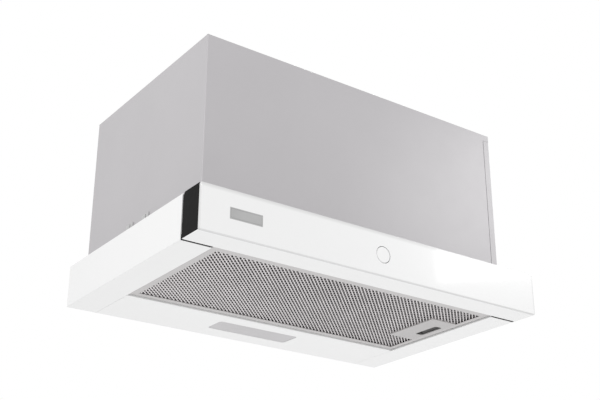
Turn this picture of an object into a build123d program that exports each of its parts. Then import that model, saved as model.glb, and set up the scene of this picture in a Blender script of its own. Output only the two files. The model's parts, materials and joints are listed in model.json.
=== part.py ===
"""Telescopic cooker hood, 500 mm class.

A sheet-metal body hides in a wall cupboard. Under it a white flange frame carries a metal grease
filter, an LED light and two telescopic rails. A drawer with a glass front pulls out towards the
cook on the rails and brings a second filter with it.

Millimetres. X is the width, +Y points to the wall, +Z up. The origin is on the underside, at the
middle of the width and of the depth. "side" is -1 for the left-hand piece and +1 for the right.
"""
from build123d import *
import os
from math import asin, cos, degrees, radians, sin

# ---- driving dimensions -----------------------------------------------------------------------
# flange frame and the body above it
FRAME_W, FRAME_D, FRAME_H = 498.0, 324.4, 54.5   # flange frame with the drawer closed
FRAME_SHEET, BODY_SHEET = 1.2, 0.8
BODY_W, BODY_INSET, TOP_Z = 453.2, 38.7, 264.0   # body width, set-back from the glass, top
SEAM_X, SEAM_TOP, SEAM_GAP, BEND_R = 216.6, 9.0, 0.8, 1.5   # right-hand seam in the front
CABINET_SCREW_Y, CABINET_SCREW_Z, CABINET_SCREW_R = (-60.0, 100.0), 66.0, 2.5
CLIP_Y, CLIP_Z, CLIP_W = (1.2, 41.2), (60.0, 79.0), 9.0
SCREW_R, SCREW_HOLE_R, SCREW_HEAD_R, SCREW_HEAD_H = 1.9, 2.1, 3.6, 2.2
SHEET_GAP, TINY = 0.5, 0.01                      # between folded sheets; tells places apart
CLEAR = 0.4                                      # between pieces that move past each other
FLOOR_GAP = 0.2                                  # the drawer rides this far above the underside

# drawer, its rails and its button
DRAWER_D, DRAWER_GAP = 37.0, 2.6                 # drawer front's depth, gap to the fixed frame
GLASS_T, CAP_T, CAP_SILL = 3.4, 3.0, 0.4        # the profile's sill runs under the end caps
SEAL_T, SEAL_Z = 2.1, (0.4, 7.0)
BADGE_X, BADGE_Z, BADGE_T = (-212.5, -170.4), (20.5, 34.1), 0.5
BUTTON_R, BUTTON_X, BUTTON_Z, BUTTON_GAP = 9.8, -1.5, 26.4, 0.7
HOUSING_R, STEM_R, SPRING_R, SPRING_WIRE = 13.0, 2.0, 6.0, 0.5
RAIL_Z, RAIL_HALF_H, RAIL_LEN = 32.0, 17.0, 280.0
RAIL_WEB, RAIL_LIP = 1.0, 1.0
INNER_HALF_H, INNER_NEAR, INNER_FAR = 12.0, 2.4, 9.0   # moving rail, from the side wall
CAGE_NEAR, CAGE_T, CAGE_LEN, CAGE_Y = 1.4, 0.6, 100.0, -34.0
BALL_R, BALL_COUNT, BALL_U, BALL_V = 1.8, 7, 4.9, 14.0
VISOR_Z, VISOR_BACK = (20.0, 27.2), 73.0
VISOR_OPEN, VISOR_RIM = (196.0, (-112.0, 60.0)), 8.0

# grease filter, its opening, its latch, and the light
OPENING_HALF, OPENING_BACK = 209.5, 76.0         # filter opening: half width and back edge
OPENING_LIP, HOOK_LIP = 7.0, 10.3                # folded edge round the opening, and at its left
FILTER_RECESS, FILTER_T = 1.5, 9.2               # lip above the underside, filter thickness
FILTER_X = (-207.8, 208.5)
WINDOW_X, WINDOW_Y = (-198.6, 199.8), (-113.0, 65.2)    # mesh seen inside the frame's lips
LIP_T = 0.8
HANDLE_X, HANDLE_Y = (158.8, 199.8), (-67.4, 19.2)
SLOT_X, SLOT_Y = (183.8, 196.0), (-45.3, -4.2)
LATCH_Z = (3.3, 8.1)
TONGUE_Y, TONGUE_Z = (-34.0, -14.0), (7.3, 8.5)
LENS_X, LENS_Y, LENS_CORNER = (-60.4, 61.6), (99.4, 132.8), 4.0

# fan, outlet and electrics
FAN_R, FAN_HALF_W, FAN_Y, FAN_Z = 72.0, 50.0, 65.0, 158.0
BLADE_COUNT, BLADE_DEPTH, BLADE_ANGLE = 36, 13.0, 35.0
SCROLL_R, SCROLL_STEP, SCROLL_WALL, SCROLL_HALF_W = 80.0, 11.0, 2.0, 57.0
INLET_R, MOTOR_R, SHAFT_R, RUN_GAP = 62.0, 42.0, 4.0, 0.05
MOTOR_X = (5.0, 50.0)
DUCT_R, DUCT_WALL, DUCT_H, DUCT_FLANGE_R = 60.0, 2.0, 36.0, 72.0
COLLAR_SCREW_R = 67.0
FLAP_OFFSET, FLAP_RISE = 3.0, 9.0                # flap hinge lines: from the middle, above the top
PIN_R, BARREL_R = 1.2, 1.7
GLAND_XY, GLAND_R = (-165.0, 130.0), 8.0
BOX_X, BOX_FRONT, BOX_Z = (-212.0, -112.0), 104.0, (150.0, 240.0)

# ---- places worked out from them --------------------------------------------------------------
FRONT, BACK = -FRAME_D / 2, FRAME_D / 2
HALF_W = FRAME_W / 2
WALL_IN = HALF_W - FRAME_SHEET                   # inner face of the frame's side wall
BODY_HALF, BODY_FRONT = BODY_W / 2, FRONT + BODY_INSET
BODY_BASE = FRAME_H - BODY_SHEET                 # the body sinks into a step in the frame's top
LEDGE_HALF = BODY_HALF - 13.5                    # inner edge of the frame's top flange
FRAME_SCREWS = [(side * 219.5, y) for side in (-1, 1) for y in (-105.0, 0.0, 140.0)]
PROFILE_X, PROFILE_Y = HALF_W - CAP_T, FRONT + GLASS_T
DRAWER_BACK, DRAWER_TOP = FRONT + DRAWER_D, FRAME_H
FRAME_FRONT = DRAWER_BACK + DRAWER_GAP
RAIL_START = FRAME_FRONT + 2.4
CAP_BACK = FRONT + 7.0                           # back of the button's cap
CUP_BACK, CUP_BORE_R = PROFILE_Y + 13.0, BUTTON_R + BUTTON_GAP
STEM_END = CUP_BACK + 0.8
BOARD_Y = CUP_BACK + 4.0
FILTER_Z = (FILTER_RECESS, FILTER_RECESS + FILTER_T)
FILTER_Y = (DRAWER_BACK + 0.8, OPENING_BACK - 0.8)
MESH_X = (FILTER_X[0] + FRAME_SHEET, FILTER_X[1] - FRAME_SHEET)
MESH_Y = (FILTER_Y[0] + FRAME_SHEET, FILTER_Y[1] - FRAME_SHEET)
OUTLET_FRONT = FAN_Y - SCROLL_STEP - (SCROLL_R + 2 * SCROLL_STEP)
OUTLET_Y = (FAN_Y + OUTLET_FRONT) / 2
FLAP_Z = TOP_Z + FLAP_RISE
FLAP_R = DUCT_R - DUCT_WALL - 0.8
BOX_Y = (BOX_FRONT, BACK - BODY_SHEET)

os.makedirs("parts", exist_ok=True)


def save(builder, name):
    """Label one finished piece and write it as its own file."""
    builder.part.label = name
    export_step(builder.part, f"parts/{name}.step")


def block(x, y, z, mode=Mode.ADD):
    """A rectangular block between the two ends given for each axis."""
    with Locations((sum(x) / 2, sum(y) / 2, sum(z) / 2)):
        Box(abs(x[1] - x[0]), abs(y[1] - y[0]), abs(z[1] - z[0]), mode=mode)


def rod(centre, radius, length, axis="Z", mode=Mode.ADD):
    """A cylinder centred on a point, along a named axis."""
    turn = {"X": (0, 90, 0), "Y": (90, 0, 0), "Z": (0, 0, 0)}[axis]
    with Locations(Location(centre, turn)):
        Cylinder(radius, length, mode=mode)


def rect(u, v, mode=Mode.ADD):
    """A rectangle in the sketch in hand, between the two ends given for each axis."""
    with Locations((sum(u) / 2, sum(v) / 2)):
        Rectangle(abs(u[1] - u[0]), abs(v[1] - v[0]), mode=mode)


def screw(x, y, z, length):
    """A pan-head screw pointing down, its head on the face at z."""
    rod((x, y, z - length / 2), SCREW_R, length)
    rod((x, y, z + SCREW_HEAD_H / 2), SCREW_HEAD_R, SCREW_HEAD_H)


# ---- body in the cupboard -----------------------------------------------------------------------
def make_body_shell():
    """One folded sheet: left side, front and back, with narrow flanges along its bottom."""
    with BuildPart() as shell:
        inside = (BODY_FRONT + BODY_SHEET, BACK - BODY_SHEET)
        block((-BODY_HALF, BODY_HALF), (BODY_FRONT, BACK), (BODY_BASE, TOP_Z - BODY_SHEET))
        block((-BODY_HALF + BODY_SHEET, BODY_HALF + 1), inside, (BODY_BASE - 1, TOP_Z + 1),
              mode=Mode.SUBTRACT)
        block((SEAM_X - SEAM_GAP / 2, BODY_HALF + 1), (BODY_FRONT - 1, inside[0] + 1),
              (BODY_BASE - 1, TOP_Z - SEAM_TOP), mode=Mode.SUBTRACT)
        for x, radius in ((-BODY_HALF, BEND_R), (-BODY_HALF + BODY_SHEET, BEND_R - BODY_SHEET)):
            fillet(shell.edges().filter_by(Axis.Z).filter_by(
                lambda e: abs(e.center().X - x) < TINY), radius)
        flange_z = (BODY_BASE, BODY_BASE + BODY_SHEET)
        block((-BODY_HALF + BEND_R, -LEDGE_HALF), inside, flange_z)
        block((-LEDGE_HALF + 1, LEDGE_HALF - 1), (inside[0], inside[0] + 12), flange_z)
        for y in CABINET_SCREW_Y:
            rod((-BODY_HALF, y, CABINET_SCREW_Z), CABINET_SCREW_R, 4, "X", mode=Mode.SUBTRACT)
        for x, y in FRAME_SCREWS:
            if x < 0:
                rod((x, y, FRAME_H), SCREW_HOLE_R, 4, mode=Mode.SUBTRACT)
    return shell


def make_body_side():
    """Right side of the body, with a return flange that lies flush beside the front's edge."""
    with BuildPart() as panel:
        y = (BODY_FRONT + BODY_SHEET + 0.1, BACK - BODY_SHEET - 0.1)
        block((BODY_HALF - BODY_SHEET, BODY_HALF), y, (BODY_BASE, TOP_Z - BODY_SHEET))
        block((SEAM_X + SEAM_GAP / 2, BODY_HALF), (BODY_FRONT, BODY_FRONT + BODY_SHEET + 0.1),
              (BODY_BASE, TOP_Z - SEAM_TOP - 0.3))
        block((LEDGE_HALF, BODY_HALF), y, (BODY_BASE, BODY_BASE + BODY_SHEET))
        for y in CABINET_SCREW_Y:
            rod((BODY_HALF, y, CABINET_SCREW_Z), CABINET_SCREW_R, 4, "X", mode=Mode.SUBTRACT)
        for x, y in FRAME_SCREWS:
            if x > 0:
                rod((x, y, FRAME_H), SCREW_HOLE_R, 4, mode=Mode.SUBTRACT)
        fillet(panel.edges().filter_by(Axis.Z).filter_by(
            lambda e: abs(e.center().X - BODY_HALF) < TINY
            and abs(e.center().Y - BODY_FRONT) < TINY), BODY_SHEET * 0.9)
    return panel


def make_top_panel():
    """Top plate with short turned-down flanges, the outlet hole and the cord inlet."""
    with BuildPart() as top:
        block((-BODY_HALF, BODY_HALF), (BODY_FRONT, BACK), (TOP_Z - BODY_SHEET, TOP_Z))
        inside = BODY_HALF - BODY_SHEET - BEND_R
        for y in (BODY_FRONT + BODY_SHEET, BACK - 2 * BODY_SHEET):
            block((-inside, inside), (y, y + BODY_SHEET), (TOP_Z - SEAM_TOP, TOP_Z - BODY_SHEET))
        fillet(top.edges().group_by(Axis.Z)[-1], BODY_SHEET * 0.8)
        rod((0, OUTLET_Y, TOP_Z), DUCT_R - DUCT_WALL, 4, mode=Mode.SUBTRACT)
        rod((*GLAND_XY, TOP_Z), GLAND_R, 4, mode=Mode.SUBTRACT)
        with Locations((0, OUTLET_Y, TOP_Z)):
            with PolarLocations(COLLAR_SCREW_R, 4, start_angle=45):
                Cylinder(SCREW_HOLE_R, 4, mode=Mode.SUBTRACT)
    return top


def make_cable_gland():
    """Cord gland clipped in the top plate. The cord itself isn't part of the model."""
    x, y = GLAND_XY
    with BuildPart() as gland:
        rod((x, y, TOP_Z + 2), 12.0, 4)
        rod((x, y, TOP_Z + 9), 9.0, 10)
        rod((x, y, TOP_Z - 5), GLAND_R, 10)
        rod((x, y, TOP_Z), 4.0, 60, mode=Mode.SUBTRACT)
        fillet(gland.edges().filter_by(GeomType.CIRCLE).sort_by(Axis.Z)[-2:], 1.2)
    return gland


# ---- flange frame -------------------------------------------------------------------------------
def make_frame_side(side):
    """Side of the flange frame: outer wall, bottom flange, top flange, folded opening edge."""
    with BuildPart() as frame:
        y = (FRAME_FRONT, BACK)
        block((side * WALL_IN, side * HALF_W), y, (0, FRAME_H))
        block((side * OPENING_HALF, side * HALF_W), y, (0, FRAME_SHEET))
        step = BODY_HALF + 0.3
        block((side * step, side * HALF_W), y, (FRAME_H - FRAME_SHEET, FRAME_H))
        block((side * step, side * (step + FRAME_SHEET)), y, (BODY_BASE - FRAME_SHEET, FRAME_H))
        block((side * LEDGE_HALF, side * step), y, (BODY_BASE - FRAME_SHEET, BODY_BASE))
        lip = HOOK_LIP if side < 0 else OPENING_LIP
        block((side * OPENING_HALF, side * (OPENING_HALF + FRAME_SHEET)),
              (FRAME_FRONT, BACK - FRAME_SHEET), (0, lip))
        block((side * OPENING_HALF, side * HALF_W), (BACK - FRAME_SHEET, BACK),
              (0, OPENING_LIP + SHEET_GAP / 2))
        for x, screw_y in FRAME_SCREWS:
            rod((x, screw_y, FRAME_H), SCREW_HOLE_R, 8, mode=Mode.SUBTRACT)
        bends = frame.edges().filter_by(Axis.Y).filter_by(
            lambda e: abs(abs(e.center().X) - HALF_W) < TINY)
        fillet(bends, 1.0)
    return frame


def make_frame_rear():
    """Rear of the flange frame: bottom panel with the light's aperture, and the back wall."""
    half = OPENING_HALF - 0.3
    with BuildPart() as rear:
        block((-half, half), (OPENING_BACK, BACK), (0, FRAME_SHEET))
        block((-half, half), (OPENING_BACK, OPENING_BACK + FRAME_SHEET), (0, OPENING_LIP))
        for side in (-1, 1):
            block((side * (half - FRAME_SHEET), side * half), (OPENING_BACK, BACK),
                  (0, OPENING_LIP))
        block((-half, half), (BACK - FRAME_SHEET, BACK), (0, BODY_BASE))
        block((-WALL_IN, WALL_IN), (BACK - FRAME_SHEET, BACK),
              (OPENING_LIP + SHEET_GAP, BODY_BASE - FRAME_SHEET))
        with BuildSketch(Plane.XY):
            with Locations((sum(LENS_X) / 2, sum(LENS_Y) / 2)):
                RectangleRounded(LENS_X[1] - LENS_X[0] + 1, LENS_Y[1] - LENS_Y[0] + 1,
                                 LENS_CORNER + 0.5)
        extrude(amount=FRAME_SHEET, mode=Mode.SUBTRACT)
    return rear


def make_cross_rail():
    """Angle that ties the two frame sides together over the filter's front edge."""
    with BuildPart() as rail:
        z = FILTER_Z[1] + 1.6
        block((-WALL_IN, WALL_IN), (FRAME_FRONT, FRAME_FRONT + 18), (z, z + FRAME_SHEET))
        block((-OPENING_HALF, OPENING_HALF), (FRAME_FRONT, FRAME_FRONT + FRAME_SHEET),
              (z, z + 5))
    return rail


def make_cabinet_clips():
    """Four sprung steel clips on the body's sides, which hold it up in the cupboard."""
    with BuildPart() as clips:
        for side in (-1, 1):
            for y in CLIP_Y:
                across = (y - CLIP_W / 2, y + CLIP_W / 2)
                face = side * BODY_HALF
                block((face, face + side * 1.0), across, (CLIP_Z[0], CLIP_Z[1]))
                block((face, face + side * 5.0), across, (CLIP_Z[0] + 8, CLIP_Z[0] + 9))
                block((face + side * 4.0, face + side * 5.0), across,
                      (CLIP_Z[0] + 8, CLIP_Z[1] - 4))
    return clips


def make_frame_screws():
    """Six screws that join the body's bottom flange to the frame's top flange."""
    with BuildPart() as screws:
        for x, y in FRAME_SCREWS:
            screw(x, y, BODY_BASE + BODY_SHEET, 6)
    return screws


# ---- light --------------------------------------------------------------------------------------
def make_led_lens():
    """Diffuser that fills the aperture and rests on the panel with a rim."""
    with BuildPart() as lens:
        with BuildSketch(Plane.XY.offset(FLOOR_GAP)):
            with Locations((sum(LENS_X) / 2, sum(LENS_Y) / 2)):
                RectangleRounded(LENS_X[1] - LENS_X[0], LENS_Y[1] - LENS_Y[0], LENS_CORNER)
        extrude(amount=2.4)
        block((LENS_X[0] - 3, LENS_X[1] + 3), (LENS_Y[0] - 3, LENS_Y[1] + 3),
              (FRAME_SHEET, FRAME_SHEET + 1.4))
    return lens


def make_led_board():
    """Aluminium board with a row of light-emitting diodes facing down."""
    with BuildPart() as board:
        block((LENS_X[0], LENS_X[1]), (LENS_Y[0] + 4, LENS_Y[1] - 4), (11.0, 12.6))
        with Locations((sum(LENS_X) / 2, sum(LENS_Y) / 2, 10.6)):
            with GridLocations(16, 10, 7, 2):
                Box(3.5, 3.5, 0.8)
    return board


def make_led_housing():
    """Cover over the light, open at the bottom, resting on the lens's rim."""
    with BuildPart() as housing:
        x, y = (LENS_X[0] - 3, LENS_X[1] + 3), (LENS_Y[0] - 3, LENS_Y[1] + 3)
        z = (FRAME_SHEET + 1.4, 20.0)
        block(x, y, z)
        block((x[0] + 1.5, x[1] - 1.5), (y[0] + 1.5, y[1] - 1.5), (z[0] - 1, z[1] - 1.5),
              mode=Mode.SUBTRACT)
        for end in ((x[0], x[0] + 9), (x[1] - 9, x[1])):
            block(end, LENS_Y, (12.6, 14.0))
        fillet(housing.edges().group_by(Axis.Z)[-1], 1.4)
    return housing


# ---- telescopic rails -----------------------------------------------------------------------------
def make_rail_outer(side):
    """Fixed rail: a channel screwed to the frame's side wall, open towards the middle."""
    with BuildPart() as rail:
        y = (RAIL_START, RAIL_START + RAIL_LEN)
        block((side * WALL_IN, side * (WALL_IN - RAIL_WEB)), y,
              (RAIL_Z - RAIL_HALF_H, RAIL_Z + RAIL_HALF_H))
        for way in (-1, 1):
            block((side * WALL_IN, side * (WALL_IN - 8.4)), y,
                  (RAIL_Z + way * RAIL_HALF_H, RAIL_Z + way * (RAIL_HALF_H - RAIL_LIP)))
    return rail


def make_rail_inner(side):
    """Moving rail: a smaller channel that runs on the balls and carries the drawer."""
    with BuildPart() as rail:
        y = (DRAWER_BACK, DRAWER_BACK + RAIL_LEN)
        far, near = side * (WALL_IN - INNER_FAR), side * (WALL_IN - INNER_NEAR)
        block((far, far + side * RAIL_WEB), y, (RAIL_Z - INNER_HALF_H, RAIL_Z + INNER_HALF_H))
        for way in (-1, 1):
            block((far, near), y,
                  (RAIL_Z + way * INNER_HALF_H, RAIL_Z + way * (INNER_HALF_H - RAIL_WEB)))
    return rail


def make_ball_cage(side):
    """Cage with two rows of balls, which rolls between the two rails at half their speed."""
    with BuildPart() as cage:
        y = (CAGE_Y, CAGE_Y + CAGE_LEN)
        near = side * (WALL_IN - CAGE_NEAR)
        block((near, near - side * CAGE_T), y, (RAIL_Z - BALL_V - 0.4, RAIL_Z + BALL_V + 0.4))
        for way in (-1, 1):
            block((near, near - side * 5.6), y,
                  (RAIL_Z + way * (BALL_V - 0.4), RAIL_Z + way * (BALL_V + 0.4)))
            for index in range(BALL_COUNT):
                ball_y = CAGE_Y + CAGE_LEN * (index + 0.5) / BALL_COUNT
                with Locations((side * (WALL_IN - BALL_U), ball_y, RAIL_Z + way * BALL_V)):
                    Sphere(BALL_R)
    return cage


# ---- drawer ---------------------------------------------------------------------------------------
def make_drawer_profile():
    """Long folded profile behind the glass: front wall, bottom, top and two rear lips."""
    low, high = FLOOR_GAP, DRAWER_TOP
    with BuildPart() as profile:
        with BuildSketch(Plane.YZ.offset(-PROFILE_X)):
            rect((PROFILE_Y, PROFILE_Y + FRAME_SHEET), (low, high))
            rect((PROFILE_Y, DRAWER_BACK), (low, low + FRAME_SHEET))
            rect((PROFILE_Y, DRAWER_BACK - 3), (high - FRAME_SHEET, high))
            rect((DRAWER_BACK - FRAME_SHEET, DRAWER_BACK), (low, 34.0))
        extrude(amount=2 * PROFILE_X)
        block((-HALF_W, HALF_W), (PROFILE_Y, DRAWER_BACK - 1), (low, low + CAP_SILL))
        rod((BUTTON_X, PROFILE_Y, BUTTON_Z), HOUSING_R + 0.1, 10, "Y", mode=Mode.SUBTRACT)
        bend = profile.edges().filter_by(Axis.X).sort_by(Axis.Z)
        fillet(bend.filter_by(lambda e: abs(e.center().Z - low) < TINY
                              and abs(e.center().Y - DRAWER_BACK) < TINY), 0.9)
    return profile


def make_glass_front():
    """White glass face of the drawer, with the button's hole and a shallow seat for the badge."""
    with BuildPart() as glass:
        with BuildSketch(Plane.XZ.offset(-PROFILE_Y)):
            with Locations((0, (FLOOR_GAP + DRAWER_TOP) / 2)):
                RectangleRounded(FRAME_W, DRAWER_TOP - FLOOR_GAP, 1.6)
        extrude(amount=GLASS_T)
        rod((BUTTON_X, FRONT, BUTTON_Z), BUTTON_R + BUTTON_GAP, 20, "Y", mode=Mode.SUBTRACT)
        block(BADGE_X, (FRONT - 1, FRONT + BADGE_T), BADGE_Z, mode=Mode.SUBTRACT)
        outline = glass.faces().sort_by(Axis.Y)[0].outer_wire().edges()
        fillet(outline, 1.1)
    return glass


def make_badge_plate():
    """Plain metal plate set flush in the glass, with an engraved border and no lettering."""
    with BuildPart() as badge:
        block(BADGE_X, (FRONT, FRONT + BADGE_T), BADGE_Z)
        inner = 1.2
        with BuildSketch(Plane.XZ.offset(-FRONT)):
            rect((BADGE_X[0] + inner, BADGE_X[1] - inner), (BADGE_Z[0] + inner, BADGE_Z[1] - inner))
            rect((BADGE_X[0] + 1.5 * inner, BADGE_X[1] - 1.5 * inner),
                 (BADGE_Z[0] + 1.5 * inner, BADGE_Z[1] - 1.5 * inner), mode=Mode.SUBTRACT)
        extrude(amount=-0.2, mode=Mode.SUBTRACT)
    return badge


def make_end_cap(side):
    """Black moulded cap that closes one end of the drawer profile."""
    with BuildPart() as cap:
        block((side * PROFILE_X, side * HALF_W), (PROFILE_Y, DRAWER_BACK),
              (FLOOR_GAP + CAP_SILL, DRAWER_TOP))
        rear = cap.edges().filter_by(Axis.X).filter_by(
            lambda e: abs(e.center().Y - DRAWER_BACK) < TINY).sort_by(Axis.Z)
        chamfer(rear[-1], 3.0)
        block((side * (PROFILE_X - 8), side * PROFILE_X),
              (PROFILE_Y + 2, DRAWER_BACK - 4), (FLOOR_GAP + 2, DRAWER_TOP - 4))
        block((side * (PROFILE_X - 9), side * (PROFILE_X - 0.5)),
              (PROFILE_Y + 3.5, DRAWER_BACK - 5.5), (FLOOR_GAP + 3.5, DRAWER_TOP - 5.5),
              mode=Mode.SUBTRACT)
    return cap


def make_drawer_seals():
    """Two black foam strips behind the drawer's profile, which close the gap to the frame."""
    with BuildPart() as seals:
        for side in (-1, 1):
            block((side * (OPENING_HALF + 0.5), side * (HALF_W - 0.5)),
                  (DRAWER_BACK, DRAWER_BACK + SEAL_T), SEAL_Z)
    return seals


def make_visor_frame():
    """Frame behind the drawer front that holds the second filter and joins the two rails."""
    rail_face = WALL_IN - INNER_FAR
    with BuildPart() as visor:
        block((-rail_face, rail_face), (DRAWER_BACK, VISOR_BACK), (VISOR_Z[1] - 1.2, VISOR_Z[1]))
        block((-VISOR_OPEN[0], VISOR_OPEN[0]), VISOR_OPEN[1], (VISOR_Z[0], VISOR_Z[1] + 1),
              mode=Mode.SUBTRACT)
        for side in (-1, 1):
            block((side * rail_face, side * (rail_face - 1.2)), (DRAWER_BACK, VISOR_BACK),
                  (VISOR_Z[0], VISOR_Z[1] + 8))
            block((side * VISOR_OPEN[0], side * (VISOR_OPEN[0] + 1.2)), VISOR_OPEN[1],
                  (VISOR_Z[0], VISOR_Z[1]))
        block((-200, 200), (DRAWER_BACK, DRAWER_BACK + 1.2), (VISOR_Z[0], VISOR_Z[1]))
        block((-rail_face, rail_face), (VISOR_BACK - 1.2, VISOR_BACK), (VISOR_Z[0], VISOR_Z[1]))
    return visor


def make_visor_filter():
    """Flat metal-mesh filter carried by the drawer."""
    half, (y0, y1) = VISOR_OPEN
    with BuildPart() as mesh:
        block((-half, half), (y0, y1), (VISOR_Z[0] + 1.4, VISOR_Z[0] + 5))
        for z in ((VISOR_Z[0], VISOR_Z[0] + 2), (VISOR_Z[0] + 3, VISOR_Z[0] + 9)):
            block((-half + VISOR_RIM, half - VISOR_RIM), (y0 + VISOR_RIM, y1 - VISOR_RIM), z,
                  mode=Mode.SUBTRACT)
    return mesh


# ---- button ---------------------------------------------------------------------------------------
def make_power_button():
    """Round button cap, flush with the glass, on a stem that reaches the switch."""
    with BuildPart() as button:
        rod((BUTTON_X, (FRONT + CAP_BACK) / 2, BUTTON_Z), BUTTON_R, CAP_BACK - FRONT, "Y")
        fillet(button.edges().filter_by(GeomType.CIRCLE).sort_by(Axis.Y)[0], 0.5)
        rod((BUTTON_X, (CAP_BACK + STEM_END) / 2, BUTTON_Z), STEM_R, STEM_END - CAP_BACK, "Y")
    return button


def make_button_housing():
    """Cup behind the glass that guides the button and holds its spring."""
    depth = CUP_BACK - PROFILE_Y
    with BuildPart() as housing:
        rod((BUTTON_X, PROFILE_Y + depth / 2, BUTTON_Z), HOUSING_R, depth, "Y")
        rod((BUTTON_X, PROFILE_Y + FRAME_SHEET + 1, BUTTON_Z), HOUSING_R + 4, 2, "Y")
        rod((BUTTON_X, PROFILE_Y + depth / 2 - 2, BUTTON_Z), CUP_BORE_R, depth, "Y",
            mode=Mode.SUBTRACT)
        rod((BUTTON_X, CUP_BACK, BUTTON_Z), STEM_R + 0.5, 8, "Y", mode=Mode.SUBTRACT)
        for side in (-1, 1):
            block((BUTTON_X + side * 12, BUTTON_X + side * 15), (PROFILE_Y + 3, BOARD_Y),
                  (BUTTON_Z - 3, BUTTON_Z + 3))
    return housing


def make_spring(start, direction, radius, wire, length, turns):
    """Open coil spring from a point along a direction."""
    with BuildPart() as spring:
        with BuildLine():
            coil = Helix(pitch=length / turns, height=length, radius=radius,
                         center=start, direction=direction)
        with BuildSketch(Plane(origin=coil @ 0, z_dir=coil % 0)):
            Circle(wire)
        sweep(path=coil)
    return spring


def make_control_board():
    """Printed board on the button's housing, with a tact switch facing the stem."""
    with BuildPart() as board:
        block((-32, 32), (BOARD_Y, BOARD_Y + 1.6), (BUTTON_Z - 13, BUTTON_Z + 13))
        block((BUTTON_X - 3, BUTTON_X + 3), (BOARD_Y - 1.2, BOARD_Y), (BUTTON_Z - 3, BUTTON_Z + 3))
        rod((BUTTON_X, BOARD_Y - 1.4, BUTTON_Z), 1.4, 0.6, "Y")
        block((18, 28), (BOARD_Y + 1.6, BOARD_Y + 6), (BUTTON_Z - 6, BUTTON_Z + 6))
        block((-28, -20), (BOARD_Y + 1.6, BOARD_Y + 4), (BUTTON_Z - 5, BUTTON_Z + 5))
    return board


# ---- grease filter --------------------------------------------------------------------------------
def make_filter_frame():
    """Aluminium channel round the mesh, with a window for the latch tongue."""
    (x0, x1), (y0, y1), (z0, z1) = FILTER_X, FILTER_Y, FILTER_Z
    with BuildPart() as frame:
        block(FILTER_X, FILTER_Y, FILTER_Z)
        block(MESH_X, MESH_Y, (z0 + LIP_T, z1 - LIP_T), mode=Mode.SUBTRACT)
        block(WINDOW_X, WINDOW_Y, (z0 - 1, z1 + 1), mode=Mode.SUBTRACT)
        block((x1 - 3, x1 + 1), (TONGUE_Y[0] - CLEAR, TONGUE_Y[1] + CLEAR),
              (TONGUE_Z[0] - CLEAR, TONGUE_Z[1] + CLEAR), mode=Mode.SUBTRACT)
        low = frame.edges().group_by(Axis.Z)[0].filter_by(
            lambda e: e.length > 150 and (abs(e.center().X - x0) < TINY
                                          or abs(e.center().X - x1) < TINY
                                          or abs(e.center().Y - y0) < TINY
                                          or abs(e.center().Y - y1) < TINY))
        fillet(low, 1.8)
    return frame


def make_filter_layer(low, high):
    """One flat layer of the filter, cut out round the latch housing."""
    with BuildPart() as layer:
        block(MESH_X, MESH_Y, (low, high))
        block((HANDLE_X[0] - 0.2, HANDLE_X[1] + 9), (HANDLE_Y[0] - 0.2, HANDLE_Y[1] + 0.2),
              (low - 1, high + 1), mode=Mode.SUBTRACT)
    return layer


def make_filter_hooks():
    """Two flat hooks on the filter's left edge, which lie over the opening's folded edge."""
    with BuildPart() as hooks:
        for y in (-80.0, 30.0):
            block((FILTER_X[0] - 6, FILTER_X[0] + 9), (y, y + 16), (FILTER_Z[1], FILTER_Z[1] + 1.2))
    return hooks


def make_latch_housing():
    """Shallow case in the filter's corner with a slot for a finger."""
    z0, z1 = FILTER_Z[0], FILTER_Z[1] - LIP_T
    with BuildPart() as case:
        block(HANDLE_X, HANDLE_Y, (z0, z1))
        block((HANDLE_X[0] + 1.2, HANDLE_X[1] + 1), (HANDLE_Y[0] + 1.2, HANDLE_Y[1] - 1.2),
              (z0 + 1.2, z1 - 1.0), mode=Mode.SUBTRACT)
        with BuildSketch(Plane.XY.offset(z0 - 1)):
            with Locations((sum(SLOT_X) / 2, sum(SLOT_Y) / 2)):
                RectangleRounded(SLOT_X[1] - SLOT_X[0], SLOT_Y[1] - SLOT_Y[0], 3.0)
        extrude(amount=2.5, mode=Mode.SUBTRACT)
    return case


def make_latch_slider():
    """Sliding latch with a scooped finger pull, its tongue stopping just inside the frame."""
    with BuildPart() as slider:
        block((SLOT_X[0] - 4, SLOT_X[1] + 5), (SLOT_Y[0] - 4, SLOT_Y[1] + 4), LATCH_Z)
        rod(((sum(SLOT_X)) / 2 - 1, sum(SLOT_Y) / 2, LATCH_Z[0] - 5), 8.0,
            SLOT_Y[1] - SLOT_Y[0] - 6, "Y", mode=Mode.SUBTRACT)
        block((SLOT_X[1], FILTER_X[1] - CLEAR), TONGUE_Y, TONGUE_Z)
    return slider


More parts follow.
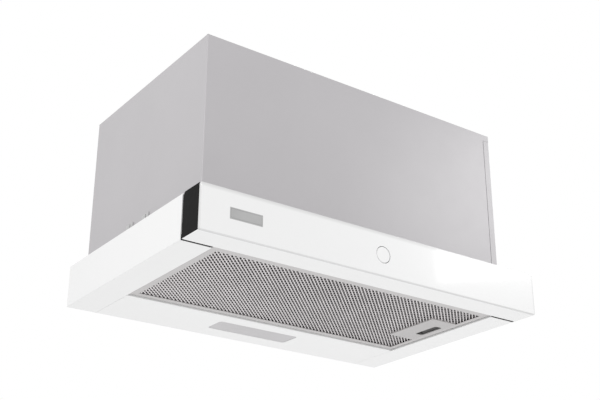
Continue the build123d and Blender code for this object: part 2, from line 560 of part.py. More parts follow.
# ---- fan ------------------------------------------------------------------------------------------
def make_scroll_half(side):
    """Half of the fan casing: a spiral wall open at the top, a side plate and its inlet ring."""
    with BuildPart() as half:
        for inset, far, mode in ((0.0, SCROLL_HALF_W, Mode.ADD),
                                 (SCROLL_WALL, SCROLL_HALF_W - SCROLL_WALL, Mode.SUBTRACT)):
            top = TOP_Z - BODY_SHEET + inset
            radius = SCROLL_R - inset
            start = degrees(asin(inset / radius))
            tongue = (FAN_Y - inset, FAN_Z + radius * cos(radians(start)))
            outer = OUTLET_FRONT + inset
            low = (FAN_Y - SCROLL_STEP, FAN_Z)
            front = (low[0], FAN_Z + SCROLL_STEP)
            with BuildSketch(Plane.YZ):
                with BuildLine():
                    Line((tongue[0], top), tongue)
                    CenterArc((FAN_Y, FAN_Z), radius, 90 + start, -90 - start)
                    CenterArc(low, radius + SCROLL_STEP, 0, -90)
                    CenterArc(front, radius + 2 * SCROLL_STEP, -90, -90)
                    Line((outer, front[1]), (outer, top))
                    Line((outer, top), (tongue[0], top))
                make_face()
            extrude(amount=side * far, mode=mode)
        rod((side * (SCROLL_HALF_W - 1), FAN_Y, FAN_Z), INLET_R, 6, "X", mode=Mode.SUBTRACT)
        if side > 0:
            for x, y, z in bracket_feet():
                rod((x, y, z), SCREW_R, 30, "X", mode=Mode.SUBTRACT)
    return half


def bracket_feet():
    """Where the motor bracket's three arms are screwed to the casing."""
    reach = INLET_R + 7
    return [(SCROLL_HALF_W, FAN_Y + reach * cos(radians(a)), FAN_Z + reach * sin(radians(a)))
            for a in (90, 210, 330)]


def make_motor_bracket():
    """Three-armed spider over the right-hand inlet that carries the motor."""
    x = SCROLL_HALF_W
    with BuildPart() as bracket:
        rod((x + 1.5, FAN_Y, FAN_Z), 20, 3, "X")
        rod(((x + MOTOR_X[1]) / 2, FAN_Y, FAN_Z), 12, x - MOTOR_X[1], "X")
        with BuildSketch(Plane.YZ.offset(x)):
            with Locations((FAN_Y, FAN_Z)):
                with PolarLocations((INLET_R + 12) / 2, 3, start_angle=90):
                    Rectangle(INLET_R + 12, 11)
        extrude(amount=3)
        for foot_x, y, z in bracket_feet():
            rod((foot_x, y, z), SCREW_R, 30, "X", mode=Mode.SUBTRACT)
    return bracket


def make_motor():
    """Round motor inside the wheel, with a bore that the shaft runs in."""
    with BuildPart() as motor:
        rod((sum(MOTOR_X) / 2, FAN_Y, FAN_Z), MOTOR_R, MOTOR_X[1] - MOTOR_X[0], "X")
        fillet(motor.edges().filter_by(GeomType.CIRCLE), 3)
        rod((MOTOR_X[0] + 9, FAN_Y, FAN_Z), SHAFT_R + RUN_GAP, 22, "X", mode=Mode.SUBTRACT)
    return motor


def make_motor_shaft():
    """Shaft from the motor to the wheel's hub."""
    with BuildPart() as shaft:
        rod((3, FAN_Y, FAN_Z), SHAFT_R, 34, "X")
    return shaft


def make_impeller():
    """Double-inlet wheel: middle disc with a hub, forward-curved blades, a ring at each end."""
    inner = FAN_R - BLADE_DEPTH
    with BuildPart() as wheel:
        rod((0, FAN_Y, FAN_Z), FAN_R - 1, 2, "X")
        rod((-7, FAN_Y, FAN_Z), 12, 14, "X")
        with BuildSketch(Plane.YZ.offset(-FAN_HALF_W)):
            with Locations((FAN_Y, FAN_Z)):
                with PolarLocations((FAN_R + inner) / 2, BLADE_COUNT):
                    Rectangle(BLADE_DEPTH * 0.95, 0.9, rotation=BLADE_ANGLE)
        extrude(amount=2 * FAN_HALF_W)
        for end in (-1, 1):
            rod((end * (FAN_HALF_W - 1), FAN_Y, FAN_Z), FAN_R, 2, "X")
            rod((end * FAN_HALF_W, FAN_Y, FAN_Z), inner, 6, "X", mode=Mode.SUBTRACT)
        rod((-7, FAN_Y, FAN_Z), SHAFT_R, 40, "X", mode=Mode.SUBTRACT)
    return wheel


def make_fan_screws():
    """Three screws that hold the motor bracket to the casing."""
    with BuildPart() as screws:
        for x, y, z in bracket_feet():
            rod((x + 3 + SCREW_HEAD_H / 2, y, z), SCREW_HEAD_R, SCREW_HEAD_H, "X")
            rod((x - 0.5, y, z), SCREW_R, 7, "X")
    return screws


# ---- outlet ---------------------------------------------------------------------------------------
def make_outlet_collar():
    """Round spigot for the duct, with a flange, a stop ring and holes for the flap pins."""
    with BuildPart() as collar:
        rod((0, OUTLET_Y, TOP_Z + 0.8), DUCT_FLANGE_R, 1.6)
        rod((0, OUTLET_Y, TOP_Z + DUCT_H / 2), DUCT_R, DUCT_H)
        rod((0, OUTLET_Y, TOP_Z + DUCT_H / 2), DUCT_R - DUCT_WALL - 1.6, DUCT_H + 8,
            mode=Mode.SUBTRACT)
        rod((0, OUTLET_Y, FLAP_Z + DUCT_H / 2 - 1.5), DUCT_R - DUCT_WALL, DUCT_H,
            mode=Mode.SUBTRACT)
        for way in (-1, 1):
            rod((0, OUTLET_Y + way * FLAP_OFFSET, FLAP_Z), PIN_R + RUN_GAP, 2 * DUCT_R + 4, "X",
                mode=Mode.SUBTRACT)
        with Locations((0, OUTLET_Y, TOP_Z)):
            with PolarLocations(COLLAR_SCREW_R, 4, start_angle=45):
                Cylinder(SCREW_HOLE_R, 6, mode=Mode.SUBTRACT)
        fillet(collar.edges().group_by(Axis.Z)[-1], 0.6)
    return collar


def make_damper_flap(way):
    """Half-round non-return flap with its barrel and pin ends. way is -1 front, +1 rear."""
    hinge_y = OUTLET_Y + way * FLAP_OFFSET
    with BuildPart() as flap:
        with BuildSketch(Plane.XY.offset(FLAP_Z - 0.6)):
            with Locations((0, OUTLET_Y)):
                Circle(FLAP_R)
                rect((-FLAP_R - 1, FLAP_R + 1), (-way * FLAP_R - way, way * FLAP_OFFSET),
                     mode=Mode.SUBTRACT)
        extrude(amount=1.2)
        rod((0, hinge_y, FLAP_Z), BARREL_R, 2 * (FLAP_R - 1), "X")
        rod((0, hinge_y, FLAP_Z), PIN_R, 2 * (DUCT_R - 0.4), "X")
    return flap


def make_collar_screws():
    """Four screws that hold the collar's flange to the top plate."""
    with BuildPart() as screws:
        for angle in (45, 135, 225, 315):
            x = COLLAR_SCREW_R * cos(radians(angle))
            y = OUTLET_Y + COLLAR_SCREW_R * sin(radians(angle))
            screw(x, y, TOP_Z + 1.6, 7)
    return screws


# ---- electrics ------------------------------------------------------------------------------------
def make_electronics_box():
    """Moulded box on the body's back wall, open towards the front."""
    with BuildPart() as box:
        block(BOX_X, BOX_Y, BOX_Z)
        block((BOX_X[0] + 2, BOX_X[1] - 2), (BOX_Y[0] - 1, BOX_Y[1] - 2),
              (BOX_Z[0] + 2, BOX_Z[1] - 2), mode=Mode.SUBTRACT)
        rod((GLAND_XY[0], GLAND_XY[1], BOX_Z[1]), 5, 8, mode=Mode.SUBTRACT)
    return box


def make_electronics_cover():
    """Lid of the box."""
    with BuildPart() as cover:
        block(BOX_X, (BOX_Y[0] - 2, BOX_Y[0]), BOX_Z)
        fillet(cover.edges().group_by(Axis.Y)[0], 1.2)
    return cover


def make_power_board():
    """Power board with its transformer and relays, on the back of the box."""
    back = BOX_Y[1] - 2
    with BuildPart() as board:
        block((BOX_X[0] + 6, BOX_X[1] - 6), (back - 5.6, back - 4), (BOX_Z[0] + 6, BOX_Z[1] - 34))
        for x in (BOX_X[0] + 10, BOX_X[1] - 10):
            block((x - 3, x + 3), (back - 4, back), (BOX_Z[0] + 8, BOX_Z[0] + 14))
        block((-200, -172), (back - 27, back - 5.6), (BOX_Z[0] + 12, BOX_Z[0] + 42))
        for x in (-160.0, -142.0, -124.0):
            block((x - 6, x + 6), (back - 20, back - 5.6), (BOX_Z[0] + 12, BOX_Z[0] + 30))
    return board


def make_terminal_block():
    """Three-way terminal block under the cord's inlet."""
    back = BOX_Y[1] - 2
    with BuildPart() as terminals:
        block((-192, -152), (back - 16, back), (BOX_Z[1] - 24, BOX_Z[1] - 8))
        for x in (-185.0, -172.0, -159.0):
            rod((x, back - 14, BOX_Z[1] - 16), 3.2, 8, "Y", mode=Mode.SUBTRACT)
    return terminals


def make_capacitor():
    """Motor capacitor, clamped on the outside of the fan casing's left plate."""
    with BuildPart() as capacitor:
        rod((-SCROLL_HALF_W - 16, 10, 80), 16, 60, "Y")
        fillet(capacitor.edges().filter_by(GeomType.CIRCLE), 2)
    return capacitor


def make_drawer_switch():
    """Small switch on the right frame side that the drawer's frame releases when pulled out."""
    with BuildPart() as switch:
        block((LEDGE_HALF + 2, LEDGE_HALF + 10), (82.0, 100.0), (34.0, BODY_BASE - FRAME_SHEET))
        block((LEDGE_HALF + 4, LEDGE_HALF + 8), (76.0, 82.0), (38.0, 39.0))
    return switch


# ---- build and write every piece --------------------------------------------------------------------
save(make_body_shell(), "body_shell")
save(make_body_side(), "body_side_right")
save(make_top_panel(), "top_panel")
save(make_cable_gland(), "cable_gland")
save(make_frame_rear(), "frame_rear")
save(make_cross_rail(), "front_cross_rail")
save(make_cabinet_clips(), "cabinet_clips")
save(make_frame_screws(), "frame_screws")
save(make_led_lens(), "led_lens")
save(make_led_board(), "led_board")
save(make_led_housing(), "led_housing")
for side, hand in ((-1, "left"), (1, "right")):
    save(make_frame_side(side), f"frame_side_{hand}")
    save(make_rail_outer(side), f"rail_outer_{hand}")
    save(make_rail_inner(side), f"rail_inner_{hand}")
    save(make_ball_cage(side), f"ball_cage_{hand}")
    save(make_end_cap(side), f"end_cap_{hand}")
    save(make_scroll_half(side), f"scroll_{hand}")
save(make_drawer_profile(), "drawer_profile")
save(make_glass_front(), "glass_front")
save(make_badge_plate(), "badge_plate")
save(make_drawer_seals(), "drawer_seals")
save(make_visor_frame(), "visor_frame")
save(make_visor_filter(), "visor_filter")
save(make_power_button(), "power_button")
save(make_button_housing(), "button_housing")
save(make_spring((BUTTON_X, CAP_BACK + SPRING_WIRE, BUTTON_Z), (0, 1, 0), SPRING_R, SPRING_WIRE,
                 CUP_BACK - 2 - CAP_BACK - 2 * SPRING_WIRE, 3), "button_spring")
save(make_control_board(), "control_board")
save(make_filter_frame(), "filter_frame")
save(make_filter_layer(FILTER_Z[0] + LIP_T, FILTER_Z[0] + LIP_T + 0.8), "filter_mesh_lower")
save(make_filter_layer(5.4, 6.6), "filter_core")
save(make_filter_layer(FILTER_Z[1] - LIP_T - 0.6, FILTER_Z[1] - LIP_T), "filter_mesh_upper")
save(make_filter_hooks(), "filter_hooks")
save(make_latch_housing(), "latch_housing")
save(make_latch_slider(), "latch_slider")
save(make_spring((HANDLE_X[0] + 2.2, sum(SLOT_Y) / 2, sum(LATCH_Z) / 2), (1, 0, 0), 1.8, 0.4,
                 SLOT_X[0] - 4 - HANDLE_X[0] - 3.5, 7), "latch_spring")
save(make_motor_bracket(), "motor_bracket")
save(make_motor(), "motor")
save(make_motor_shaft(), "motor_shaft")
save(make_impeller(), "impeller")
save(make_fan_screws(), "fan_screws")
save(make_outlet_collar(), "outlet_collar")
save(make_damper_flap(-1), "damper_flap_front")
save(make_damper_flap(1), "damper_flap_rear")
save(make_collar_screws(), "collar_screws")
save(make_electronics_box(), "electronics_box")
save(make_electronics_cover(), "electronics_cover")
save(make_power_board(), "power_board")
save(make_terminal_block(), "terminal_block")
save(make_capacitor(), "capacitor")
save(make_drawer_switch(), "drawer_switch")
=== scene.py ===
"""Looks for the telescopic cooker hood: materials, filter meshes, seals, springs and the studio.
The seals, the dark strips round the filter and the dark foil in it carry painted shade.

Metres, in the CAD frame: X is the width, +Y points to the wall, +Z up, origin on the underside.
Shapes are drawn in millimetres, and add_piece() turns them into metres.
"""

import json
import math

import bmesh
import bpy
from mathutils import Matrix, Vector, noise


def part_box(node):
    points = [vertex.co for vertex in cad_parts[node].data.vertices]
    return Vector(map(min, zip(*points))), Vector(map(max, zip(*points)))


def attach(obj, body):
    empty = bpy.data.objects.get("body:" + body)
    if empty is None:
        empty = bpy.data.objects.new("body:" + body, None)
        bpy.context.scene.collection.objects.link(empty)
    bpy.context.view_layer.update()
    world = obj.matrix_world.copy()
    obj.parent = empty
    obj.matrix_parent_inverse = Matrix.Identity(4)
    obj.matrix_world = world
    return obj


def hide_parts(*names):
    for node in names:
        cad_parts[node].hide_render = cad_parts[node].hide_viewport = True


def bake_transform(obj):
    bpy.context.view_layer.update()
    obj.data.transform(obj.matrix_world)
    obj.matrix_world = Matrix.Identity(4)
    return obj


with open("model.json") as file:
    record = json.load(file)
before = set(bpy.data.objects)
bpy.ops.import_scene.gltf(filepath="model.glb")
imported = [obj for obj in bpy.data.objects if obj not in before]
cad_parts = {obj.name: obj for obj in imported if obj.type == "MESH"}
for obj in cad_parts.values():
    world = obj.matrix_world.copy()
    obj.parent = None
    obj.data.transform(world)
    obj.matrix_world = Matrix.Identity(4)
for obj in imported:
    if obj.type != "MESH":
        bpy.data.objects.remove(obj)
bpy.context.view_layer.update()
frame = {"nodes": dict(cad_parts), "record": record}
nodes = frame["nodes"]
scene = bpy.context.scene
MM = 0.001


# ---- material helpers ----------------------------------------------------------------------------
class Graph:
    """A material's node tree, with short calls to add and join nodes."""

    def __init__(self, name):
        self.material = bpy.data.materials.new(name)
        self.material.use_nodes = True
        self.tree = self.material.node_tree
        self.shader = self.tree.nodes["Principled BSDF"]

    def node(self, kind, values=None, **settings):
        made = self.tree.nodes.new(kind)
        for key, value in settings.items():
            setattr(made, key, value)
        for key, value in (values or {}).items():
            made.inputs[key].default_value = value
        return made

    def join(self, source, target):
        self.tree.links.new(source, target)

    def feed(self, socket, source):
        """Joins an output to a socket of the shader."""
        self.join(source, self.shader.inputs[socket])

    def set(self, socket, value):
        """Sets a constant on a socket of the shader."""
        self.shader.inputs[socket].default_value = value

    def place(self, scale=(1, 1, 1)):
        """The point on the piece, in metres times the scale."""
        coords = self.node("ShaderNodeTexCoord")
        mapping = self.node("ShaderNodeMapping", {"Scale": scale})
        self.join(coords.outputs["Object"], mapping.inputs["Vector"])
        return mapping.outputs["Vector"]

    def noise(self, scale, detail, roughness=0.5, vector=None):
        """Noise with about scale cells to a metre."""
        values = {"Scale": scale, "Detail": detail, "Roughness": roughness}
        made = self.node("ShaderNodeTexNoise", values)
        self.join(self.place() if vector is None else vector, made.inputs["Vector"])
        return made.outputs["Fac"]

    def ramp(self, factor, stops):
        """Colour ramp; stops is a list of (position, (r, g, b))."""
        made = self.node("ShaderNodeValToRGB")
        elements = made.color_ramp.elements
        while len(elements) < len(stops):
            elements.new(0.5)
        for element, (position, colour) in zip(elements, stops):
            element.position = position
            element.color = (*colour, 1)
        self.join(factor, made.inputs["Fac"])
        return made.outputs["Color"]

    def mottle(self, factor, colour, spread, start):
        """The colour, from a little darker to a little lighter as factor rises past start."""
        return self.ramp(factor, [(start, scaled(colour, 1 - spread)),
                                  (1 - start, scaled(colour, 1 + spread))])

    def level(self, factor, middle, swing):
        """A number that follows factor from 0 to 1, as far as swing to each side of middle."""
        made = self.node("ShaderNodeMapRange", {"To Min": middle - swing, "To Max": middle + swing})
        self.join(factor, made.inputs["Value"])
        return made.outputs["Result"]

    def bump(self, height, strength, distance):
        made = self.node("ShaderNodeBump", {"Strength": strength, "Distance": distance})
        self.join(height, made.inputs["Height"])
        return made.outputs["Normal"]


def mm_box(node):
    """A CAD node's box in millimetres, as two corners."""
    low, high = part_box(node)
    return [v / MM for v in low], [v / MM for v in high]


def scaled(colour, factor):
    """A colour made lighter or darker, at most white."""
    return tuple(min(1.0, channel * factor) for channel in colour)


def grey(value, warm=0.0, rose=0.0):
    """A linear grey from an sRGB level of 0 to 255, a little warmer or less green."""
    level = value / 255
    linear = level / 12.92 if level <= 0.04045 else ((level + 0.055) / 1.055) ** 2.4
    return (linear * (1 + warm), linear * (1 - rose), linear * (1 - warm))


def painted(name, colour, roughness, spread):
    """Sprayed paint on sheet: a slight cloudiness in its colour and a fine orange peel."""
    g = Graph(name)
    g.feed("Base Color", g.mottle(g.noise(9, 4, 0.55), colour, spread, 0.3))
    g.feed("Roughness", g.level(g.noise(60, 3), roughness, 0.05))
    g.feed("Normal", g.bump(g.noise(900, 2), 0.2, 0.12 * MM))
    return g.material


def back_painted_glass(name, colour, node, rims, darker, roughness):
    """Glass painted behind, with painted shade along its polished edges: its colour is made darker
    there. The rims are the widths of that painted shade band in millimetres at the node's left,
    right, bottom and top."""
    clouding = 0.12
    low, high = mm_box(node)
    g = Graph(name)
    split = g.node("ShaderNodeSeparateXYZ")
    g.join(g.place((1 / MM, 1 / MM, 1 / MM)), split.inputs["Vector"])
    edges = (("X", low[0], 1), ("X", high[0], -1), ("Z", low[2], 1), ("Z", high[2], -1))
    nearness = []
    for (axis, edge, inward), rim in zip(edges, rims):
        band = g.node("ShaderNodeMapRange", {"From Min": edge, "From Max": edge + inward * rim,
                                             "To Min": 1.0, "To Max": 0.0})
        g.join(split.outputs[axis], band.inputs["Value"])
        nearness.append(band.outputs["Result"])
    nearest = nearness[0]
    for other in nearness[1:]:
        most = g.node("ShaderNodeMath", operation="MAXIMUM")
        g.join(nearest, most.inputs[0])
        g.join(other, most.inputs[1])
        nearest = most.outputs["Value"]
    # painted shade: noise clouding plus nearness to an edge, which the ramp turns darker
    depth = g.node("ShaderNodeMath", {1: clouding}, operation="MULTIPLY_ADD")
    g.join(g.noise(9, 4, 0.55), depth.inputs[0])
    g.join(nearest, depth.inputs[2])
    g.feed("Base Color", g.ramp(depth.outputs["Value"], [(0.0, scaled(colour, 1.005)),
                                                         (clouding, scaled(colour, 0.995)),
                                                         (1.0, scaled(colour, darker))]))
    g.feed("Roughness", g.level(g.noise(60, 3), roughness, 0.03))
    g.set("Coat Weight", 1.0)
    g.set("Coat Roughness", 0.08)
    return g.material


def metal(name, colour, roughness, stretch=(1, 1, 1), scale=400, metallic=1.0, spread=0.08):
    """Bare or brushed metal: a fine grain along the rolling direction, and dull patches."""
    g = Graph(name)
    fine = g.noise(scale, 5, 0.6, g.place(stretch))
    g.feed("Base Color", g.mottle(g.noise(22, 4, 0.6), colour, spread, 0.25))
    g.feed("Roughness", g.level(fine, roughness, 0.1))
    g.feed("Normal", g.bump(fine, 0.3, 0.06 * MM))
    g.set("Metallic", metallic)
    return g.material


def plastic(name, colour, roughness, grain=0.4, spread=0.06, specular=0.5):
    """Moulded plastic: a fine spark-eroded grain and faint flow marks."""
    g = Graph(name)
    flow = g.noise(30, 4, 0.6, g.place((1, 1, 0.3)))
    g.feed("Base Color", g.mottle(flow, colour, spread, 0.3))
    g.feed("Roughness", g.level(g.noise(200, 3), roughness, 0.06))
    g.feed("Normal", g.bump(g.noise(1600, 3), grain, 0.05 * MM))
    g.set("Specular IOR Level", specular)
    return g.material


# ---- materials -----------------------------------------------------------------------------------
def look(make, tone, roughness, **detail):
    return make, dict(colour=tone, roughness=roughness, **detail)


ALUMINIUM = dict(warm=0.012, rose=0.01)
LOOKS = {
    "body_grey": look(painted, grey(174, rose=0.03), 0.36, spread=0.015),
    "frame_white": look(painted, grey(227), 0.42, spread=0.006),
    # painted shade along the glass's edges, darker by the darker factor, widest at the top
    "glass_white": look(back_painted_glass, grey(226), 0.3, node="glass_front",
                        rims=(1.3, 3.4, 1.3, 5.5), darker=0.76),
    "cap_black": look(plastic, grey(14, 0.03, 0.03), 0.6, specular=0.1),
    "button_white": look(plastic, grey(227), 0.35, grain=0.1, spread=0.01),
    "lens": look(plastic, grey(183, rose=0.02), 0.4, grain=0.1, spread=0.03),
    "badge": look(metal, grey(178), 0.35, stretch=(1, 40, 40)),
    "filter_frame": look(metal, grey(196, **ALUMINIUM), 0.45, metallic=0.6, spread=0.03),
    "filter_mesh": look(metal, grey(226, 0.015, 0.022), 0.4, metallic=0.6),
    # dark grey foil: painted shade for the dark seen between the filter's ridged layers
    "filter_foil": look(metal, grey(44, 0.02, 0.02), 0.5, metallic=0.4),
    "latch": look(metal, grey(186, **ALUMINIUM), 0.45, metallic=0.5, spread=0.03),
    "latch_pull": look(metal, grey(84, **ALUMINIUM), 0.5, metallic=0.5, spread=0.03),
    "zinc": look(metal, grey(190), 0.35, scale=150),
    "fan_casing": look(plastic, grey(90), 0.55),
    "impeller": look(plastic, grey(60), 0.5),
    "motor": look(metal, grey(170), 0.4),
    "white_plastic": look(plastic, grey(236), 0.45),
    "board": look(plastic, (0.02, 0.16, 0.06), 0.4),
    "steel": look(metal, grey(195), 0.25),
    "flap": look(plastic, grey(70), 0.5),
}
MATERIALS = {name: make(name, **values) for name, (make, values) in LOOKS.items()}

record = frame["record"]
slot_of = {part["node"]: part["material_slot"] for part in record["subparts"]}
body_of = {node: body for body, group in record["behaviour"]["bodies"].items() for node in group}
look_of = {"latch_slider": "latch_pull"}    # the grip is darker than the latch's plate
for name, obj in nodes.items():
    obj.data.materials.clear()
    obj.data.materials.append(MATERIALS[look_of.get(name, slot_of[name])])


# ---- shapes --------------------------------------------------------------------------------------
def bisect(shape, point, normal, clear_outer=False):
    """Cuts every face along a plane, and can drop the side that its normal points to."""
    everything = shape.verts[:] + shape.edges[:] + shape.faces[:]
    bmesh.ops.bisect_plane(shape, geom=everything, dist=1e-4, plane_co=point, plane_no=normal,
                           clear_outer=clear_outer)


def clip(shape, x, y, hole=None):
    """Cuts a sheet to a rectangle, and takes a smaller rectangle out of it."""
    for point, normal in (((x[0], 0, 0), (-1, 0, 0)), ((x[1], 0, 0), (1, 0, 0)),
                          ((0, y[0], 0), (0, -1, 0)), ((0, y[1], 0), (0, 1, 0))):
        bisect(shape, point, normal, clear_outer=True)
    if hole is None:
        return
    (x0, x1), (y0, y1) = hole
    for point, normal in (((x0, 0, 0), (1, 0, 0)), ((x1, 0, 0), (1, 0, 0)),
                          ((0, y0, 0), (0, 1, 0)), ((0, y1, 0), (0, 1, 0))):
        bisect(shape, point, normal)
    middles = ((face, face.calc_center_median()) for face in shape.faces)
    inside = [face for face, middle in middles if x0 < middle.x < x1 and y0 < middle.y < y1]
    bmesh.ops.delete(shape, geom=inside, context="FACES")


def ridged_sheet(x, y, low, depth, pitch, step, strand, tie, angle, hole=None):
    """Expanded metal rolled into ridges: open slots lie between them, crossed by a short tie at
    each step. Low is the height of the ridges' crests, which face down."""
    along = Vector((math.cos(angle), math.sin(angle)))
    across = Vector((-along.y, along.x))
    centre = Vector(((x[0] + x[1]) / 2, (y[0] + y[1]) / 2))
    reach = math.hypot(x[1] - x[0], y[1] - y[0]) / 2 + step
    steps_u = (0.0, tie / 2, step / 2, step - tie / 2)
    steps_v = ((-strand / 2, 1.0), (-strand / 5, 0.0), (strand / 5, 0.0), (strand / 2, 1.0))
    shape = bmesh.new()
    points = {}

    def point(iu, iv):
        """One vertex; a strand is a little narrower and flatter half way between two ties."""
        if (iu, iv) not in points:
            u = (iu // 4) * step + steps_u[iu % 4]
            offset, height = steps_v[iv % 4]
            waist = 0.8 if iu % 4 == 2 else 1.0
            spot = centre + along * u + across * ((iv // 4) * pitch + offset * waist)
            points[iu, iv] = shape.verts.new((spot.x, spot.y, low + depth * height * waist))
        return points[iu, iv]

    margin = step * 2
    rows, columns = int(reach / pitch) + 1, int(reach / step) + 1
    for row in range(-rows, rows):
        for column in range(-columns, columns):
            spot = centre + along * (column * step) + across * (row * pitch)
            if not (x[0] - margin < spot.x < x[1] + margin
                    and y[0] - margin < spot.y < y[1] + margin):
                continue
            for m in range(4):
                for k in range(4):
                    if m == 3 and k in (1, 2):    # the slot, between one tie and the next
                        continue
                    iu, iv = column * 4 + k, row * 4 + m
                    shape.faces.new((point(iu, iv), point(iu, iv + 1),
                                     point(iu + 1, iv + 1), point(iu + 1, iv)))
    clip(shape, x, y, hole)
    return shape


def crinkled_foil(x, y, middle, swing, cell, hole=None):
    """Crumpled foil that catches the grease: a sheet with folds a few millimetres apart."""
    shape = bmesh.new()
    nx, ny = int((x[1] - x[0]) / cell), int((y[1] - y[0]) / cell)
    grid = []
    for j in range(ny + 1):
        row = []
        for i in range(nx + 1):
            px, py = x[0] + (x[1] - x[0]) * i / nx, y[0] + (y[1] - y[0]) * j / ny
            fold = noise.noise(Vector((px * 0.21, py * 0.21, 3.0)))
            fold += 0.6 * noise.noise(Vector((px * 0.55, py * 0.55, 9.0)))
            height = middle + swing * max(-1.0, min(1.0, fold * 1.6))
            row.append(shape.verts.new((px, py, height)))
        grid.append(row)
    for row, next_row in zip(grid, grid[1:]):
        for i in range(nx):
            shape.faces.new((row[i], next_row[i], next_row[i + 1], row[i + 1]))
    clip(shape, x, y, hole)
    return shape


def bar_ring(rings):
    """Square bars along rectangles; each ring is its outer x and y, thickness and z range."""
    shape = bmesh.new()
    for (x0, x1), (y0, y1), thick, (low, high) in rings:
        loops = []
        for inset, z in ((0, low), (0, high), (thick, high), (thick, low)):
            corners = ((x0 + inset, y0 + inset), (x1 - inset, y0 + inset),
                       (x1 - inset, y1 - inset), (x0 + inset, y1 - inset))
            loops.append([shape.verts.new((cx, cy, z)) for cx, cy in corners])
        for a, b in zip(loops, loops[1:] + loops[:1]):
            for k in range(4):
                shape.faces.new((a[k], a[(k + 1) % 4], b[(k + 1) % 4], b[k]))
    return shape


def add_piece(name, shape, host, slot, thick=None, material=None, stands_for_host=True):
    """Turns a shape into a piece on its host node's body, which replaces that node by default."""
    bmesh.ops.scale(shape, vec=(MM, MM, MM), verts=shape.verts)
    bmesh.ops.delete(shape, geom=[v for v in shape.verts if not v.link_faces], context="VERTS")
    mesh = bpy.data.meshes.new(name)
    shape.to_mesh(mesh)
    shape.free()
    for face in mesh.polygons:
        face.use_smooth = True
    mesh.materials.append(MATERIALS[material or slot])
    piece = bpy.data.objects.new(name, mesh)
    scene.collection.objects.link(piece)
    if thick:
        solid = piece.modifiers.new("thickness", "SOLIDIFY")
        solid.thickness = thick * MM
        solid.offset = -1.0
    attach(piece, body_of[host])
    if stands_for_host:
        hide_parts(host)


# ---- pieces --------------------------------------------------------------------------------------
def make_filter_layers():
    """The grease filter's two ridged layers with foil between them, open round the latch."""
    (x0, y0, z0), (x1, y1, _) = mm_box("filter_mesh_lower")
    (hx0, hy0, _), (_, hy1, _) = mm_box("latch_housing")
    upper_z = mm_box("filter_mesh_upper")[0][2]
    (_, _, core_low), (_, _, core_high) = mm_box("filter_core")
    clear, past = 0.2, x1 + 1    # from the frame and the latch, which stands at the right edge
    x, y = (x0 + clear, x1 - clear), (y0 + clear, y1 - clear)
    hole = ((hx0 - clear, past), (hy0 - clear, hy1 + clear))
    lower = ridged_sheet(x, y, low=z0 + 0.05, depth=1.6, pitch=3.95, step=7.6, strand=1.95,
                         tie=1.2, angle=math.radians(45), hole=hole)
    add_piece("filter_ridges", lower, "filter_mesh_lower", "filter_mesh", thick=0.3)
    gap = 8.0    # the foil ends short of the frame and the latch
    # the foil between the layers is dark grey, painted shade for the dark seen through the ridges
    foil = crinkled_foil((x0 + gap, x1 - gap), (y0 + gap, y1 - gap), (core_low + core_high) / 2,
                         swing=0.75, cell=2.4, hole=((hx0 - gap, past), (hy0 - gap, hy1 + gap)))
    add_piece("filter_foil", foil, "filter_core", "filter_mesh", thick=0.12,
              material="filter_foil")
    upper = ridged_sheet(x, y, low=upper_z - 0.4, depth=0.7, pitch=5.6, step=11.0, strand=3.4,
                         tie=3.0, angle=math.radians(-45), hole=hole)
    add_piece("filter_ridges_upper", upper, "filter_mesh_upper", "filter_mesh", thick=0.25)


def make_filter_painted_shade():
    """Painted shade: a dark ring in the gap round the filter for the shade in that crease, and dark
    strips behind the edges of its mesh for the shade seen through it there.
    """
    (fx0, fy0, _), (fx1, fy1, _) = mm_box("filter_frame")
    (x0, y0, z0), (x1, y1, _) = mm_box("filter_mesh_lower")
    (hx0, hy0, _), (_, hy1, _) = mm_box("latch_housing")
    upper_z = mm_box("filter_mesh_upper")[0][2]
    crease_shade_gap, clear, around = 0.45, 0.1, 0.8    # outside the frame, inside the mesh, round the latch
    strip, layer = 0.4, (z0 + 2.0, upper_z - 0.6)
    rings = [((fx0 - crease_shade_gap, fx1 + crease_shade_gap), (fy0 - crease_shade_gap, fy1 + crease_shade_gap), 0.7, (2.2, 4.0)),
             ((x0 + clear, x1 - clear), (y0 + clear, y1 - clear), strip, layer),
             ((hx0 - around, x1 - 0.6), (hy0 - around, hy1 + around), strip, layer)]
    add_piece("filter_painted_shade", bar_ring(rings), "filter_frame", "cap_black", stands_for_host=False)


def make_drawer_shade_seals():
    """Two black foam seals with round edges behind the drawer's lower corners, black to give the
    gap there its painted shade.
    """
    (x0, y0, _), (x1, y1, z1) = mm_box("drawer_seals")
    inner = mm_box("filter_frame")[1][0] + 1.6
    back, low = y1 + 0.5, 0.15    # the foam bulges past its CAD block, backwards and down
    shape = bmesh.new()
    for a, b in ((x0, -inner), (inner, x1)):
        strip = bmesh.ops.create_cube(shape, size=1.0)["verts"]
        bmesh.ops.scale(shape, vec=(b - a, back - y0, z1 - low), verts=strip)
        middle = ((a + b) / 2, (y0 + back) / 2, (low + z1) / 2)
        bmesh.ops.translate(shape, vec=middle, verts=strip)
    bmesh.ops.bevel(shape, geom=shape.edges[:], offset=0.35, segments=3, affect="EDGES")
    add_piece("drawer_shade_foam", shape, "drawer_seals", "cap_black")


def make_spring(node, axis, fixed_at_low):
    """A copy of a coil spring, which stands in place of its CAD node."""
    low, high = (Vector(corner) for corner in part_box(node))
    start = (low + high) / 2
    end = start.copy()
    start[axis], end[axis] = (low[axis], high[axis]) if fixed_at_low else (high[axis], low[axis])
    spring = bpy.data.objects.new(node + "_coil", nodes[node].data.copy())
    scene.collection.objects.link(spring)
    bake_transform(spring)
    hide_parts(node)


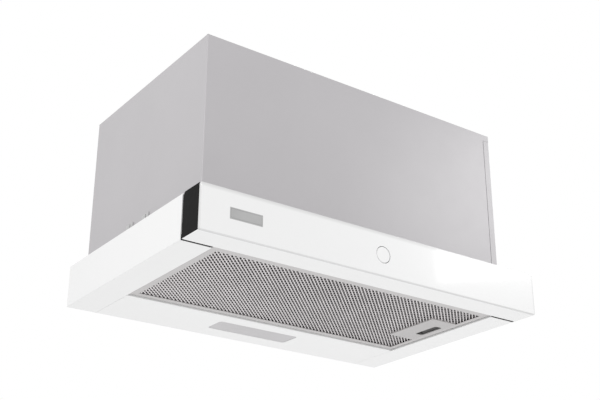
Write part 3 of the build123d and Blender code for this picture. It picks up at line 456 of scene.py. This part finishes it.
def make_visor_mesh():
    """The drawer's own ridged filter, which shows under it when the drawer is out."""
    (x0, y0, z0), (x1, y1, z1) = mm_box("visor_filter")
    clear, rim = 0.2, 8.0
    ridges = ridged_sheet((x0 + clear, x1 - clear), (y0 + clear, y1 - clear), low=z0 + 0.3,
                          depth=1.4, pitch=4.6, step=8.8, strand=3.1, tie=2.6,
                          angle=math.radians(45))
    add_piece("visor_ridges", ridges, "visor_filter", "filter_mesh", thick=0.5)
    # the foil under these ridges is dark grey too, painted shade
    foil = crinkled_foil((x0 + rim, x1 - rim), (y0 + rim, y1 - rim), z1 - 0.8, swing=0.5, cell=2.6)
    add_piece("visor_shaded_foil", foil, "visor_filter", "filter_mesh", thick=0.12,
              material="filter_foil", stands_for_host=False)


X_AXIS, Y_AXIS = 0, 1
make_filter_layers()
make_filter_painted_shade()
make_drawer_shade_seals()
make_spring("button_spring", Y_AXIS, fixed_at_low=False)
make_spring("latch_spring", X_AXIS, fixed_at_low=True)
make_visor_mesh()


# ---- studio --------------------------------------------------------------------------------------
def make_floor():
    """A pale floor, far enough below for a view from underneath."""
    mesh = bpy.data.meshes.new("floor")
    shape = bmesh.new()
    bmesh.ops.create_grid(shape, x_segments=8, y_segments=8, size=25.0)
    shape.to_mesh(mesh)
    shape.free()
    floor = bpy.data.objects.new("floor", mesh)
    floor.location = (0, 0, -3.2)
    scene.collection.objects.link(floor)
    g = Graph("floor")
    g.feed("Base Color", g.ramp(g.noise(3, 3), [(0.3, (0.80, 0.80, 0.80)),
                                                (0.7, (0.84, 0.84, 0.84))]))
    g.set("Roughness", 0.8)
    mesh.materials.append(g.material)


def make_world():
    """A white room with even light."""
    world = bpy.data.worlds.new("studio")
    world.use_nodes = True
    background = world.node_tree.nodes["Background"]
    background.inputs["Color"].default_value = (1, 1, 1, 1)
    background.inputs["Strength"].default_value = 1.0
    scene.world = world


def area_light(name, place, target, size, power):
    """A square soft light that the camera doesn't see."""
    data = bpy.data.lights.new(name, "AREA")
    data.shape = "SQUARE"
    data.size = size
    data.energy = power
    lamp = bpy.data.objects.new(name, data)
    lamp.location = place
    lamp.rotation_euler = (Vector(target) - Vector(place)).to_track_quat("-Z", "Y").to_euler()
    lamp.visible_camera = False
    scene.collection.objects.link(lamp)


def make_camera():
    """The photograph's viewpoint: low, in front of the left-hand corner, looking up."""
    heading, pitch, roll = (math.radians(angle) for angle in (35.5420, 23.5392, 0.2204))
    turn = (Matrix.Rotation(-heading, 4, "Z") @ Matrix.Rotation(math.pi / 2 + pitch, 4, "X")
            @ Matrix.Rotation(roll, 4, "Z"))
    data = bpy.data.cameras.new("camera")
    data.lens, data.sensor_width = 65.34, 36.0
    data.clip_start, data.clip_end = 0.01, 100
    camera = bpy.data.objects.new("camera", data)
    camera.matrix_world = Matrix.Translation((-0.77137, -1.07218, -0.42199)) @ turn
    scene.collection.objects.link(camera)
    scene.camera = camera


make_floor()
make_world()
area_light("soft_left", (-1.3, 0.0, 0.35), (0, 0, 0.1), 0.8, 1.4)
area_light("edge_left", (-1.2, -0.85, 0.7), (0, 0, 0.15), 0.2, 4.4)
area_light("soft_right", (0.6, -0.5, 0.38), (0.15, -0.1, 0.1), 0.3, 1.05)
area_light("edge_back", (0.8, 0.65, 1.3), (0, 0, 0.2), 0.3, 3.0)
area_light("soft_under", (0.15, -0.1, -1.2), (0, 0, 0), 1.6, 6.4)
make_camera()
scene.view_settings.view_transform = "Standard"
scene.view_settings.look = "None"
